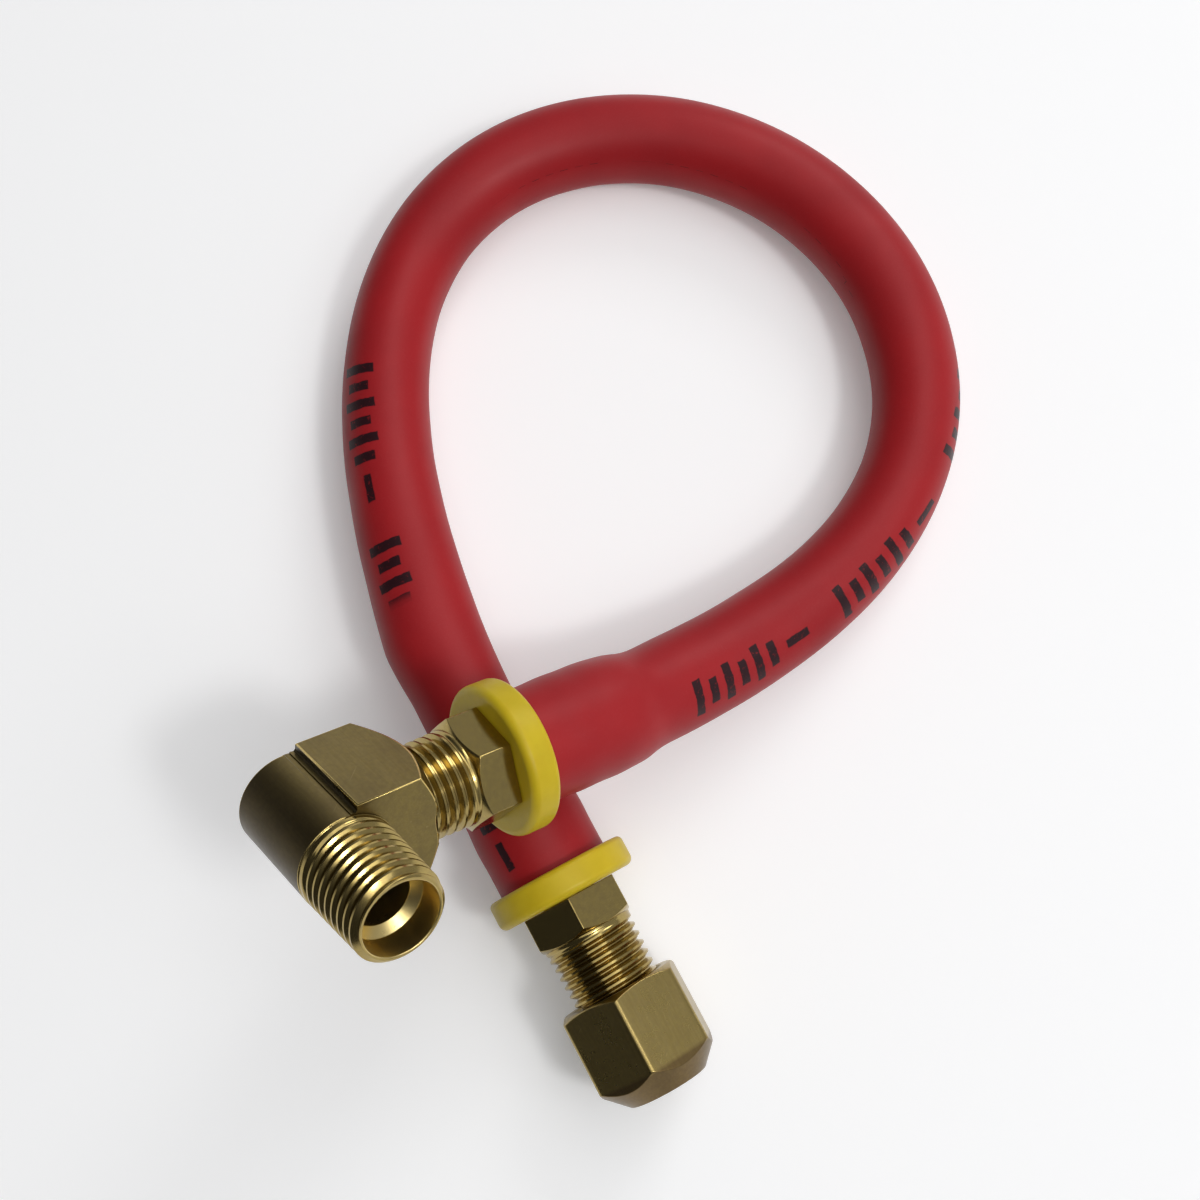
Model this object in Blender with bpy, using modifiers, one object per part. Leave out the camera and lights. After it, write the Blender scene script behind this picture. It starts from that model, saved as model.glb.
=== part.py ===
"""Oil drain hose: a short push-on rubber hose, laid in a loop on a surface.

One end carries a street elbow that screws into a drain port. The other end is closed by a hex cap.
The surface is z = 0. Lengths are in millimetres here and become metres where a mesh is made.
"""

import math

import bmesh
import bpy
import numpy as np
from mathutils import Matrix, Vector

MM = 0.001

# Gap between pieces that touch, how far a cutter runs past the face it opens, and a drilled hole's point
GAP = 0.3
CUT_PAST = 1.0
DRILL_POINT = 1.0

# Hose: natural section, and how far past the stem the stretch over the barbs fades out
HOSE_RADIUS = 7.1
HOSE_BORE_RADIUS = 3.95
STRETCH_FADE = 7.0
HOSE_POINT_SPACING = 6.0

# Push-on fitting: barbed stem, wrench hex and tapered male pipe thread, measured from the collar's front
STEM_LENGTH = 27.0
STEM_RADIUS = 4.2
BARB_RADIUS = 5.2
BARB_COUNT = 3
BARB_LENGTH = 6.0
BARB_TIP_LAND = 0.6
FITTING_BORE_RADIUS = 2.9
HEX_ACROSS_FLATS = 14.29
HEX_LENGTH = 5.6
HEX_CHAMFER = 0.5
THREAD_RADIUS = 6.86
THREAD_LENGTH = 14.3
THREAD_TAPER = 1 / 32
THREAD_END_CHAMFER = 0.9

# Plastic collar that the hose end seats in
COLLAR_RADIUS = 10.9
COLLAR_LENGTH = 4.5
COLLAR_EDGE_RADIUS = 0.8
COLLAR_DISH_DEPTH = 0.3
COLLAR_WEB = 1.5

# Thread left in sight between each hex and what is screwed on
ELBOW_END_THREAD_IN_SIGHT = 6.84
CAP_END_THREAD_IN_SIGHT = 9.18

# Street elbow, measured from where its two bores cross
BLOCK_HALF_WIDTH = 7.94
BLOCK_STEP = 2.0
PORT_REACH = 13.2
PORT_CHAMFER_ANGLE = 35.0
PORT_RUNOUT = 1.5
BODY_REACH_BACK = 9.3
BODY_REACH_FRONT = 7.0
BODY_BACK_RADIUS = 7.15
MALE_THREAD_LENGTH = 12.4
MALE_END_CHAMFER = 0.7
MALE_MOUTH_RADIUS = 5.1
MALE_MOUTH_DEPTH = 3.9
ELBOW_BORE_RADIUS = 4.0
ELBOW_BORE_PAST_CROSSING = 4.6

# End cap
CAP_ACROSS_FLATS = 17.46
CAP_HEX_LENGTH = 11.46
CAP_CONE_LENGTH = 4.03
CAP_END_RADIUS = 6.1
CAP_MOUTH_CHAMFER = 0.6
CAP_BORE_DEPTH = 11.5

# Where the two ends lie: the centre of each collar's front, and the way each end points into the hose
ELBOW_END_PLACE_XY = (3.16, 18.96)
ELBOW_END_HEADING = -1.8
ELBOW_END_PITCH = -26.8
CAP_END_PLACE_XY = (4.15, -1.3)
CAP_END_HEADING = 90.0

# Turn of each hex and of the elbow about its own axis, in degrees from level
CAP_END_HEX_TURN = -1.2
CAP_TURN = -6.2
ELBOW_TURN = 138.8

# Route of the free hose between the two stems: X, Y and lift above lying on the surface
ROUTE = (
    (39.3, 18.2, 7.3),
    (50.3, 19.2, 4.0),
    (61.4, 21.4, 1.8),
    (72.0, 25.5, 0.5),
    (81.5, 31.8, 0.1),
    (89.0, 40.5, 0.0),
    (93.6, 51.0, 0.0),
    (95.2, 62.4, 0.0),
    (93.7, 73.8, 0.0),
    (89.5, 84.5, 0.0),
    (82.9, 93.8, 0.0),
    (74.0, 101.3, 0.0),
    (63.7, 105.9, 0.0),
    (52.2, 107.4, 0.0),
    (41.0, 105.3, 0.0),
    (30.8, 100.0, 0.0),
    (22.4, 92.3, 0.1),
    (15.9, 82.8, 0.6),
    (11.2, 72.4, 1.5),
    (8.0, 61.3, 2.5),
    (6.0, 50.0, 3.5),
    (4.8, 38.6, 4.2),
)

# Fineness of the turned shapes, of a rounded edge and of the hose, and the distance that merges points
ROUND_STEPS = 32
EDGE_POINTS = 4
HOSE_BEVEL_RESOLUTION = 4
CURVE_SAMPLES = 4000
MERGE_DISTANCE = 0.01

# What follows from the sizes above
HEX_CORNER_RADIUS = HEX_ACROSS_FLATS / math.sqrt(3)
CAP_CORNER_RADIUS = CAP_ACROSS_FLATS / math.sqrt(3)
WIDE_BORE_RADIUS = BARB_RADIUS + GAP
STRETCHED_RADIUS = math.sqrt(HOSE_RADIUS**2 - HOSE_BORE_RADIUS**2 + WIDE_BORE_RADIUS**2)
COLLAR_SEAT = COLLAR_DISH_DEPTH + COLLAR_WEB
HOSE_END = COLLAR_SEAT + GAP
ELBOW_REACH = HEX_LENGTH + ELBOW_END_THREAD_IN_SIGHT + PORT_REACH
CAP_MOUTH = HEX_LENGTH + CAP_END_THREAD_IN_SIGHT
CAP_LENGTH = CAP_HEX_LENGTH + CAP_CONE_LENGTH
CAP_LOW_RADIUS = CAP_CORNER_RADIUS * math.cos(math.radians(CAP_TURN))
CAP_END_DIP = math.degrees(math.atan((COLLAR_RADIUS - CAP_LOW_RADIUS) / (CAP_MOUTH + CAP_HEX_LENGTH)))
CAP_END_PLACE = (*CAP_END_PLACE_XY, COLLAR_RADIUS * math.cos(math.radians(CAP_END_DIP)))

# The elbow end's collar rests on the hose that leaves the cap end
RISE_TO_CROSSING = (ELBOW_END_PLACE_XY[1] - CAP_END_PLACE_XY[1]) * math.tan(math.radians(CAP_END_DIP))
HOSE_TOP_AT_CROSSING = CAP_END_PLACE[2] + RISE_TO_CROSSING + STRETCHED_RADIUS
COLLAR_HALF_HEIGHT = COLLAR_RADIUS * math.cos(math.radians(ELBOW_END_PITCH))
COLLAR_BACK_DROP = COLLAR_LENGTH * math.sin(math.radians(-ELBOW_END_PITCH))
ELBOW_END_PLACE = (*ELBOW_END_PLACE_XY, HOSE_TOP_AT_CROSSING + GAP + COLLAR_HALF_HEIGHT + COLLAR_BACK_DROP)


def clear_scene():
    for obj in list(bpy.data.objects):
        bpy.data.objects.remove(obj, do_unlink=True)


def collection(name):
    made = bpy.data.collections.new(name)
    bpy.context.scene.collection.children.link(made)
    return made


def material(name, color, roughness, metallic):
    made = bpy.data.materials.new(name)
    made.use_nodes = True
    shader = made.node_tree.nodes["Principled BSDF"]
    shader.inputs["Base Color"].default_value = (*color, 1.0)
    shader.inputs["Roughness"].default_value = roughness
    shader.inputs["Metallic"].default_value = metallic
    return made


def add_object(name, mesh, parent=None):
    obj = bpy.data.objects.new(name, mesh)
    PARTS.objects.link(obj)
    obj.parent = parent
    return obj


def as_cutter(obj):
    PARTS.objects.unlink(obj)
    CUTTERS.objects.link(obj)
    obj.hide_render = True
    obj.display_type = "WIRE"
    return obj


def direction(heading, pitch):
    """The unit vector at a heading from +X towards +Y and a pitch above level, in degrees."""
    level = math.cos(math.radians(pitch))
    turn = math.radians(heading)
    return Vector((math.cos(turn) * level, math.sin(turn) * level, math.sin(math.radians(pitch))))


def frame_along(name, place, along):
    """An empty at a place, with its Z along the given direction and its Y as near up as that allows."""
    empty = bpy.data.objects.new(name, None)
    PARTS.objects.link(empty)
    turn = along.to_track_quat("Z", "Y").to_matrix().to_4x4()
    empty.matrix_world = Matrix.Translation(Vector(place) * MM) @ turn
    return empty


def turned(name, profile, parent):
    """A body turned about Z, from (radius, height) pairs down the outer side, then back up inside."""
    closed = min(radius for radius, _ in profile) > 0
    mesh = bpy.data.meshes.new(name)
    count = len(profile)
    edges = [(i, i + 1) for i in range(count - 1)] + ([(count - 1, 0)] if closed else [])
    mesh.from_pydata([(radius * MM, 0, height * MM) for radius, height in profile], edges, [])
    obj = add_object(name, mesh, parent)
    screw = obj.modifiers.new("Turn", "SCREW")
    screw.axis = "Z"
    screw.angle = math.tau
    screw.steps = ROUND_STEPS
    screw.render_steps = ROUND_STEPS
    screw.use_merge_vertices = True
    screw.merge_threshold = MERGE_DISTANCE * MM
    screw.use_smooth_shade = True
    return obj


def cylinder_cutter(name, radius, low, high, parent):
    """A cylinder about Z that runs between two heights."""
    return as_cutter(turned(name, [(0, high), (radius, high), (radius, low), (0, low)], parent))


def hex_prism(name, across_flats, low, high, turn, parent):
    mesh = bpy.data.meshes.new(name)
    shape = bmesh.new()
    radius = across_flats / math.sqrt(3) * MM
    place = Matrix.Translation((0, 0, (low + high) / 2 * MM)) @ Matrix.Rotation(math.radians(turn), 4, "Z")
    bmesh.ops.create_cone(
        shape,
        cap_ends=True,
        segments=6,
        radius1=radius,
        radius2=radius,
        depth=(high - low) * MM,
        matrix=place,
    )
    shape.to_mesh(mesh)
    shape.free()
    return add_object(name, mesh, parent)


def boolean(obj, operation, other):
    modifier = obj.modifiers.new(other.name, "BOOLEAN")
    modifier.operation = operation
    modifier.object = other
    modifier.solver = "EXACT"


def thread_radius(distance):
    """Crest radius of the tapered pipe thread at a distance from its thick end."""
    return THREAD_RADIUS - distance * THREAD_TAPER


def push_on_fitting(name, hex_turn, parent, finish):
    """Turned from hex bar. Heights run up into the hose from the collar's front."""
    hexagon = hex_prism(name, HEX_ACROSS_FLATS, -HEX_LENGTH, 0, hex_turn, parent)
    chamfer_radius = HEX_ACROSS_FLATS / 2
    rounding = turned(
        name + "_hex_edge",
        [
            (0, GAP),
            (HEX_CORNER_RADIUS + GAP, GAP),
            (HEX_CORNER_RADIUS + GAP, -HEX_LENGTH + HEX_CHAMFER),
            (chamfer_radius, -HEX_LENGTH),
            (0, -HEX_LENGTH),
        ],
        parent,
    )
    as_cutter(rounding)
    stem_top = [(0, STEM_LENGTH), (STEM_RADIUS, STEM_LENGTH)]
    for barb in range(BARB_COUNT):
        crest = STEM_LENGTH - (barb + 1) * BARB_LENGTH + BARB_TIP_LAND
        foot = crest - BARB_TIP_LAND
        stem_top += [(BARB_RADIUS, crest), (BARB_RADIUS, foot), (STEM_RADIUS, foot)]
    stem_top.append((STEM_RADIUS, -HEX_LENGTH / 2))
    stem = as_cutter(turned(name + "_stem", stem_top + [(0, -HEX_LENGTH / 2)], parent))
    end = -HEX_LENGTH - THREAD_LENGTH
    thread = turned(
        name + "_thread",
        [
            (0, -HEX_LENGTH / 2),
            (THREAD_RADIUS, -HEX_LENGTH / 2),
            (THREAD_RADIUS, -HEX_LENGTH),
            (thread_radius(THREAD_LENGTH - THREAD_END_CHAMFER), end + THREAD_END_CHAMFER),
            (thread_radius(THREAD_LENGTH) - THREAD_END_CHAMFER, end),
            (0, end),
        ],
        parent,
    )
    as_cutter(thread)
    bore = cylinder_cutter(
        name + "_bore", FITTING_BORE_RADIUS, end - CUT_PAST, STEM_LENGTH + CUT_PAST, parent
    )
    boolean(hexagon, "INTERSECT", rounding)
    boolean(hexagon, "UNION", stem)
    boolean(hexagon, "UNION", thread)
    boolean(hexagon, "DIFFERENCE", bore)
    hexagon.data.materials.append(finish)


def arc(centre_radius, centre_height, radius, start, end):
    """Profile points on a quarter round, between two angles in degrees."""
    angles = np.radians(np.linspace(start, end, EDGE_POINTS))
    return [(centre_radius + radius * math.cos(a), centre_height + radius * math.sin(a)) for a in angles]


def collar(name, parent, finish):
    """Dished towards the hex, with a web round the stem and a recess for the hose end."""
    recess_radius = STRETCHED_RADIUS + GAP
    dish_radius = HEX_CORNER_RADIUS + GAP
    edge = COLLAR_EDGE_RADIUS
    rim = COLLAR_RADIUS - edge
    profile = [(recess_radius, COLLAR_LENGTH)]
    profile += arc(rim, COLLAR_LENGTH - edge, edge, 90, 0)
    profile += arc(rim, edge, edge, 0, -90)
    profile += [
        (dish_radius, 0),
        (dish_radius, COLLAR_DISH_DEPTH),
        (STEM_RADIUS + GAP, COLLAR_DISH_DEPTH),
        (STEM_RADIUS + GAP, COLLAR_SEAT),
        (recess_radius, COLLAR_SEAT),
    ]
    turned(name, profile, parent).data.materials.append(finish)


def end_cap(name, parent, finish):
    """Hex bar with a coned closed end and a blind tapered bore. Heights run up towards the hose."""
    mouth = -CAP_MOUTH
    closed_end = mouth - CAP_LENGTH
    body = hex_prism(name, CAP_ACROSS_FLATS, closed_end, mouth, CAP_TURN, parent)
    turned_edges = turned(
        name + "_turned_edges",
        [
            (0, mouth),
            (CAP_ACROSS_FLATS / 2, mouth),
            (CAP_CORNER_RADIUS + GAP, mouth - CAP_MOUTH_CHAMFER),
            (CAP_CORNER_RADIUS + GAP, mouth - CAP_HEX_LENGTH),
            (CAP_CORNER_RADIUS, mouth - CAP_HEX_LENGTH),
            (CAP_END_RADIUS, closed_end),
            (0, closed_end),
        ],
        parent,
    )
    as_cutter(turned_edges)
    floor = mouth - CAP_BORE_DEPTH
    deep_radius = thread_radius(THREAD_LENGTH) + GAP
    bore = turned(
        name + "_bore",
        [
            (0, mouth + CUT_PAST),
            (thread_radius(CAP_END_THREAD_IN_SIGHT - CUT_PAST) + GAP, mouth + CUT_PAST),
            (deep_radius, -HEX_LENGTH - THREAD_LENGTH),
            (deep_radius, floor + DRILL_POINT),
            (0, floor),
        ],
        parent,
    )
    as_cutter(bore)
    boolean(body, "INTERSECT", turned_edges)
    boolean(body, "DIFFERENCE", bore)
    body.data.materials.append(finish)


def street_elbow(name, parent, finish):
    """Local X runs to the female port, Y to the top face and Z out of the male thread."""
    bpy.ops.mesh.primitive_cube_add(size=1)
    block = bpy.context.object
    block.name = name
    for holder in list(block.users_collection):
        holder.objects.unlink(block)
    PARTS.objects.link(block)
    middle = Vector(((BLOCK_STEP + PORT_REACH) / 2, 0, (BODY_REACH_FRONT - BODY_REACH_BACK) / 2))
    size = Vector((PORT_REACH - BLOCK_STEP, 2 * BLOCK_HALF_WIDTH, BODY_REACH_FRONT + BODY_REACH_BACK))
    block.data.transform(Matrix.Translation(middle * MM) @ Matrix.Diagonal((*(size * MM), 1)))
    block.parent = parent

    port = bpy.data.objects.new(name + "_port_axis", None)
    PARTS.objects.link(port)
    port.parent = parent
    port.rotation_euler = (0, math.pi / 2, 0)

    past_corner = math.hypot(BLOCK_HALF_WIDTH, BODY_REACH_BACK) + GAP
    chamfer_drop = (past_corner - BLOCK_HALF_WIDTH) * math.tan(math.radians(PORT_CHAMFER_ANGLE))
    port_edge = turned(
        name + "_port_edge",
        [
            (0, PORT_REACH),
            (BLOCK_HALF_WIDTH, PORT_REACH),
            (past_corner, PORT_REACH - chamfer_drop),
            (past_corner, -BODY_BACK_RADIUS),
            (0, -BODY_BACK_RADIUS),
        ],
        port,
    )
    as_cutter(port_edge)
    male_end = BODY_REACH_FRONT + MALE_THREAD_LENGTH
    back = turned(
        name + "_back",
        [
            (0, male_end),
            (thread_radius(MALE_THREAD_LENGTH) - MALE_END_CHAMFER, male_end),
            (thread_radius(MALE_THREAD_LENGTH - MALE_END_CHAMFER), male_end - MALE_END_CHAMFER),
            (THREAD_RADIUS, BODY_REACH_FRONT),
            (BODY_BACK_RADIUS, BODY_REACH_FRONT),
            (BODY_BACK_RADIUS, -BODY_REACH_BACK),
            (0, -BODY_REACH_BACK),
        ],
        parent,
    )
    as_cutter(back)
    male_bore = turned(
        name + "_male_bore",
        [
            (0, male_end + CUT_PAST),
            (MALE_MOUTH_RADIUS, male_end + CUT_PAST),
            (MALE_MOUTH_RADIUS, male_end - MALE_MOUTH_DEPTH),
            (ELBOW_BORE_RADIUS, male_end - MALE_MOUTH_DEPTH - (MALE_MOUTH_RADIUS - ELBOW_BORE_RADIUS)),
            (ELBOW_BORE_RADIUS, DRILL_POINT - ELBOW_BORE_PAST_CROSSING),
            (0, -ELBOW_BORE_PAST_CROSSING),
        ],
        parent,
    )
    as_cutter(male_bore)
    thread_end = PORT_REACH - (THREAD_LENGTH - ELBOW_END_THREAD_IN_SIGHT)
    port_floor = thread_end - PORT_RUNOUT
    female_bore = turned(
        name + "_female_bore",
        [
            (0, PORT_REACH + CUT_PAST),
            (thread_radius(ELBOW_END_THREAD_IN_SIGHT - CUT_PAST) + GAP, PORT_REACH + CUT_PAST),
            (thread_radius(THREAD_LENGTH) + GAP, thread_end),
            (thread_radius(THREAD_LENGTH) + GAP, port_floor),
            (ELBOW_BORE_RADIUS - GAP, port_floor),
            (ELBOW_BORE_RADIUS - GAP, 0),
            (0, 0),
        ],
        port,
    )
    as_cutter(female_bore)
    boolean(block, "INTERSECT", port_edge)
    boolean(block, "UNION", back)
    boolean(block, "DIFFERENCE", male_bore)
    boolean(block, "DIFFERENCE", female_bore)
    block.data.materials.append(finish)


def smooth_curve(points):
    """A cubic spline through the points, as a function of the distance along their chords."""
    points = np.array(points, float)
    knots = np.concatenate([[0], np.cumsum(np.linalg.norm(np.diff(points, axis=0), axis=1))])
    gaps = np.diff(knots)
    count = len(points)
    system = np.eye(count)
    target = np.zeros((count, 3))
    slopes = np.diff(points, axis=0) / gaps[:, None]
    for i in range(1, count - 1):
        system[i, i - 1 : i + 2] = gaps[i - 1], 2 * (gaps[i - 1] + gaps[i]), gaps[i]
        target[i] = 6 * (slopes[i] - slopes[i - 1])
    bends = np.linalg.solve(system, target)

    def at(distance):
        i = min(max(int(np.searchsorted(knots, distance)) - 1, 0), count - 2)
        left = distance - knots[i]
        right = knots[i + 1] - distance
        straight = (points[i] * right + points[i + 1] * left) / gaps[i]
        curl = bends[i] * (right**3 / gaps[i] - right * gaps[i])
        curl += bends[i + 1] * (left**3 / gaps[i] - left * gaps[i])
        return straight + curl / 6

    return at, knots[-1]


def even_points(points, spacing):
    """Points at an even spacing along the smooth curve through the given ones."""
    at, length = smooth_curve(points)
    fine = np.array([at(distance) for distance in np.linspace(0, length, CURVE_SAMPLES)])
    travelled = np.concatenate([[0], np.cumsum(np.linalg.norm(np.diff(fine, axis=0), axis=1))])
    count = round(travelled[-1] / spacing) + 1
    wanted = np.linspace(0, travelled[-1], count)
    return np.stack([np.interp(wanted, travelled, fine[:, axis]) for axis in range(3)], axis=1), wanted


def hose_route():
    """The hose's centre line: straight over each stem, and free between them."""
    into_elbow_end = np.array(direction(ELBOW_END_HEADING, ELBOW_END_PITCH))
    into_cap_end = np.array(direction(CAP_END_HEADING, CAP_END_DIP))
    on_stem = (HOSE_END, STEM_LENGTH / 2, STEM_LENGTH)
    first = [np.array(ELBOW_END_PLACE) + into_elbow_end * height for height in on_stem]
    last = [np.array(CAP_END_PLACE) + into_cap_end * height for height in reversed(on_stem)]
    free = [(x, y, HOSE_RADIUS + lift) for x, y, lift in ROUTE]
    return even_points([*first, *free, *last], HOSE_POINT_SPACING)


def stretch(distance, length):
    """1 where the hose is stretched over a stem, falling to 0 past the stem's tip."""
    from_end = min(distance, length - distance) + HOSE_END
    past = min(max((from_end - STEM_LENGTH) / STRETCH_FADE, 0), 1)
    return 1 - past * past * (3 - 2 * past)


def tube(name, points, radii):
    """A curve with a round section whose radius changes along it, made into a closed mesh."""
    curve = bpy.data.curves.new(name, "CURVE")
    curve.dimensions = "3D"
    curve.bevel_depth = MM
    curve.bevel_resolution = HOSE_BEVEL_RESOLUTION
    curve.use_fill_caps = True
    curve.render_resolution_u = 0
    spline = curve.splines.new("POLY")
    spline.points.add(len(points) - 1)
    for spot, place, radius in zip(spline.points, points, radii):
        spot.co = (*(place * MM), 1)
        spot.radius = radius
    guide = add_object(name + "_curve", curve)
    bpy.context.view_layer.update()
    graph = bpy.context.evaluated_depsgraph_get()
    mesh = bpy.data.meshes.new_from_object(guide.evaluated_get(graph))
    shape = bmesh.new()
    shape.from_mesh(mesh)
    bmesh.ops.remove_doubles(shape, verts=shape.verts, dist=MERGE_DISTANCE * MM)
    bmesh.ops.recalc_face_normals(shape, faces=shape.faces)
    shape.to_mesh(mesh)
    shape.free()
    made = add_object(name, mesh)
    made.matrix_world = guide.matrix_world.copy()
    bpy.data.objects.remove(guide, do_unlink=True)
    return made


def hose(name, finish):
    points, travelled = hose_route()
    length = travelled[-1]
    stretched = [stretch(distance, length) for distance in travelled]
    outer = [HOSE_RADIUS + (STRETCHED_RADIUS - HOSE_RADIUS) * share for share in stretched]
    inner = [HOSE_BORE_RADIUS + (WIDE_BORE_RADIUS - HOSE_BORE_RADIUS) * share for share in stretched]
    skin = tube(name, points, outer)
    past_start = points[0] + (points[0] - points[1]) / 2
    past_end = points[-1] + (points[-1] - points[-2]) / 2
    bore_points = np.vstack([past_start, points, past_end])
    bore = as_cutter(tube(name + "_bore", bore_points, [WIDE_BORE_RADIUS, *inner, WIDE_BORE_RADIUS]))
    boolean(skin, "DIFFERENCE", bore)
    skin.data.materials.clear()
    skin.data.materials.append(finish)


def main():
    red_rubber = material("red_rubber", (0.376, 0.034, 0.040), 0.5, 0.0)
    yellow_plastic = material("yellow_plastic", (0.60, 0.47, 0.02), 0.4, 0.0)
    brass = material("brass", (0.50, 0.38, 0.14), 0.3, 1.0)

    into_hose = direction(ELBOW_END_HEADING, ELBOW_END_PITCH)
    elbow_end = frame_along("elbow_end_frame", ELBOW_END_PLACE, into_hose)
    cap_end = frame_along("cap_end_frame", CAP_END_PLACE, direction(CAP_END_HEADING, CAP_END_DIP))

    crossing = bpy.data.objects.new("elbow_frame", None)
    PARTS.objects.link(crossing)
    crossing.parent = elbow_end
    turn = Matrix.Rotation(math.radians(ELBOW_TURN), 4, "Z")
    port_to_hose = Matrix.Rotation(math.pi, 4, Vector((1, 0, 1)))
    crossing.matrix_local = Matrix.Translation((0, 0, -ELBOW_REACH * MM)) @ turn @ port_to_hose

    hose("hose", red_rubber)
    collar("collar_elbow_end", elbow_end, yellow_plastic)
    collar("collar_cap_end", cap_end, yellow_plastic)
    push_on_fitting("push_on_fitting_elbow_end", 0, elbow_end, brass)
    push_on_fitting("push_on_fitting_cap_end", CAP_END_HEX_TURN, cap_end, brass)
    street_elbow("street_elbow", crossing, brass)
    end_cap("end_cap", cap_end, brass)


clear_scene()
PARTS = collection("oil_drain_hose")
CUTTERS = collection("cutters")
main()
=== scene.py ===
"""Looks of the oil drain hose: rubber hose, plastic collars, brass fittings, street elbow and end cap.

Lengths are in millimetres here and become metres where a mesh is made. Angles are in degrees.
"""

import math

import bmesh
import bpy
import numpy as np
from mathutils import Matrix, Vector


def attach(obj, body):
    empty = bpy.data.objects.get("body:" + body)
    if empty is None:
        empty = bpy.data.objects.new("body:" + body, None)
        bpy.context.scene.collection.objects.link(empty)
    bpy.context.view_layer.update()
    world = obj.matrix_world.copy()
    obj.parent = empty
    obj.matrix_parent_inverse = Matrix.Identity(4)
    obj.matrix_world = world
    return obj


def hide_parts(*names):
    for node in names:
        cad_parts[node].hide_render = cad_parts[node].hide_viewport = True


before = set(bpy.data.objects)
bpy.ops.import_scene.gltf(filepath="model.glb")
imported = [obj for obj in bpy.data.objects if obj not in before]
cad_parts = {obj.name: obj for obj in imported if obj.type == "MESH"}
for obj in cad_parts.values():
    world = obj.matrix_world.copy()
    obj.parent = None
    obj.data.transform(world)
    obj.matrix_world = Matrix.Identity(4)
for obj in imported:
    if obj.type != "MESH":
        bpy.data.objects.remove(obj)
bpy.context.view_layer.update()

MM = 0.001

# Sizes as in the solids, unless noted. Hose
HOSE_RADIUS = 7.1
HOSE_BORE_RADIUS = 3.95
STRETCHED_RADIUS = 8.07
STRETCHED_BORE_RADIUS = 5.5
STRETCH_FADE = 7.0

# Push-on fitting, measured from the collar's front
STEM_LENGTH = 27.0
STEM_RADIUS = 4.2
BARB_RADIUS = 5.2
BARB_COUNT = 3
BARB_LENGTH = 6.0
BARB_TIP_LAND = 0.6
FITTING_BORE_RADIUS = 2.9
HEX_ACROSS_FLATS = 14.29
HEX_LENGTH = 5.6
THREAD_RADIUS = 6.86
THREAD_LENGTH = 14.3
THREAD_TAPER = 1 / 32

# Collar
COLLAR_RADIUS = 10.9
COLLAR_LENGTH = 4.5
COLLAR_SEAT = 1.8
HOSE_END = 2.1

# Street elbow, measured from where its bores cross. Its back is 0.3 mm slimmer here than in the solids,
# its male thread 0.7 mm longer and its mouth 0.2 mm wider in radius, as read from the photograph.
ELBOW_END_THREAD_IN_SIGHT = 6.84
BLOCK_HALF_WIDTH = 7.94
BLOCK_STEP = 2.0
PORT_REACH = 13.2
PORT_CHAMFER_ANGLE = 35.0
BODY_REACH_BACK = 9.3
BODY_REACH_FRONT = 7.0
BODY_BACK_RADIUS = 6.85
MALE_THREAD_LENGTH = 13.1
MALE_END_CHAMFER = 0.7
MALE_MOUTH_RADIUS = 5.3
MALE_MOUTH_DEPTH = 3.9
ELBOW_BORE_RADIUS = 4.0
ELBOW_BORE_PAST_CROSSING = 4.6

# End cap
CAP_END_THREAD_IN_SIGHT = 9.18
CAP_ACROSS_FLATS = 17.46
CAP_HEX_LENGTH = 11.46
CAP_CONE_LENGTH = 4.03
CAP_END_RADIUS = 6.1
CAP_BORE_DEPTH = 11.5

# Where the two ends lie, as in the solids
ELBOW_END_PLACE = (3.16, 18.96, 31.696)
ELBOW_END_HEADING = -1.8
ELBOW_END_PITCH = -26.8
CAP_END_PLACE = (4.15, -1.3, 10.894)
CAP_END_HEADING = 90.0
CAP_END_DIP = 1.917
CAP_END_HEX_TURN = -1.2
CAP_TURN = -6.2
ELBOW_TURN = 138.8

# Route of the free hose: X, Y and lift above lying on the surface, the same points as in the solids
ROUTE = (
    (39.3, 18.2, 7.3),
    (50.3, 19.2, 4.0),
    (61.4, 21.4, 1.8),
    (72.0, 25.5, 0.5),
    (81.5, 31.8, 0.1),
    (89.0, 40.5, 0.0),
    (93.6, 51.0, 0.0),
    (95.2, 62.4, 0.0),
    (93.7, 73.8, 0.0),
    (89.5, 84.5, 0.0),
    (82.9, 93.8, 0.0),
    (74.0, 101.3, 0.0),
    (63.7, 105.9, 0.0),
    (52.2, 107.4, 0.0),
    (41.0, 105.3, 0.0),
    (30.8, 100.0, 0.0),
    (22.4, 92.3, 0.1),
    (15.9, 82.8, 0.6),
    (11.2, 72.4, 1.5),
    (8.0, 61.3, 2.5),
    (6.0, 50.0, 3.5),
    (4.8, 38.6, 4.2),
)

# Pipe thread: pitch, depth from crest to root, and the share of a pitch that is crest and root
PITCH = 1.411
THREAD_DEPTH = 0.78
CREST_SHARE = 0.26
ROOT_SHARE = 0.10

# Camera of the photograph, in the part's frame
CAMERA_PLACE = (5.09, -9.16, 244.22)
CAMERA_TARGET = (30.56, 37.84, 0.0)
CAMERA_LENS = 46.96


def scene_collection():
    return bpy.context.scene.collection


def direction(heading, pitch):
    """The unit vector at a heading from +X towards +Y and a pitch above level."""
    level = math.cos(math.radians(pitch))
    turn = math.radians(heading)
    return Vector((math.cos(turn) * level, math.sin(turn) * level, math.sin(math.radians(pitch))))


def frame_along(place, along):
    """A matrix at a place, with its Z along the given direction and its Y as near up as that allows."""
    return Matrix.Translation(Vector(place) * MM) @ along.to_track_quat("Z", "Y").to_matrix().to_4x4()


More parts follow.
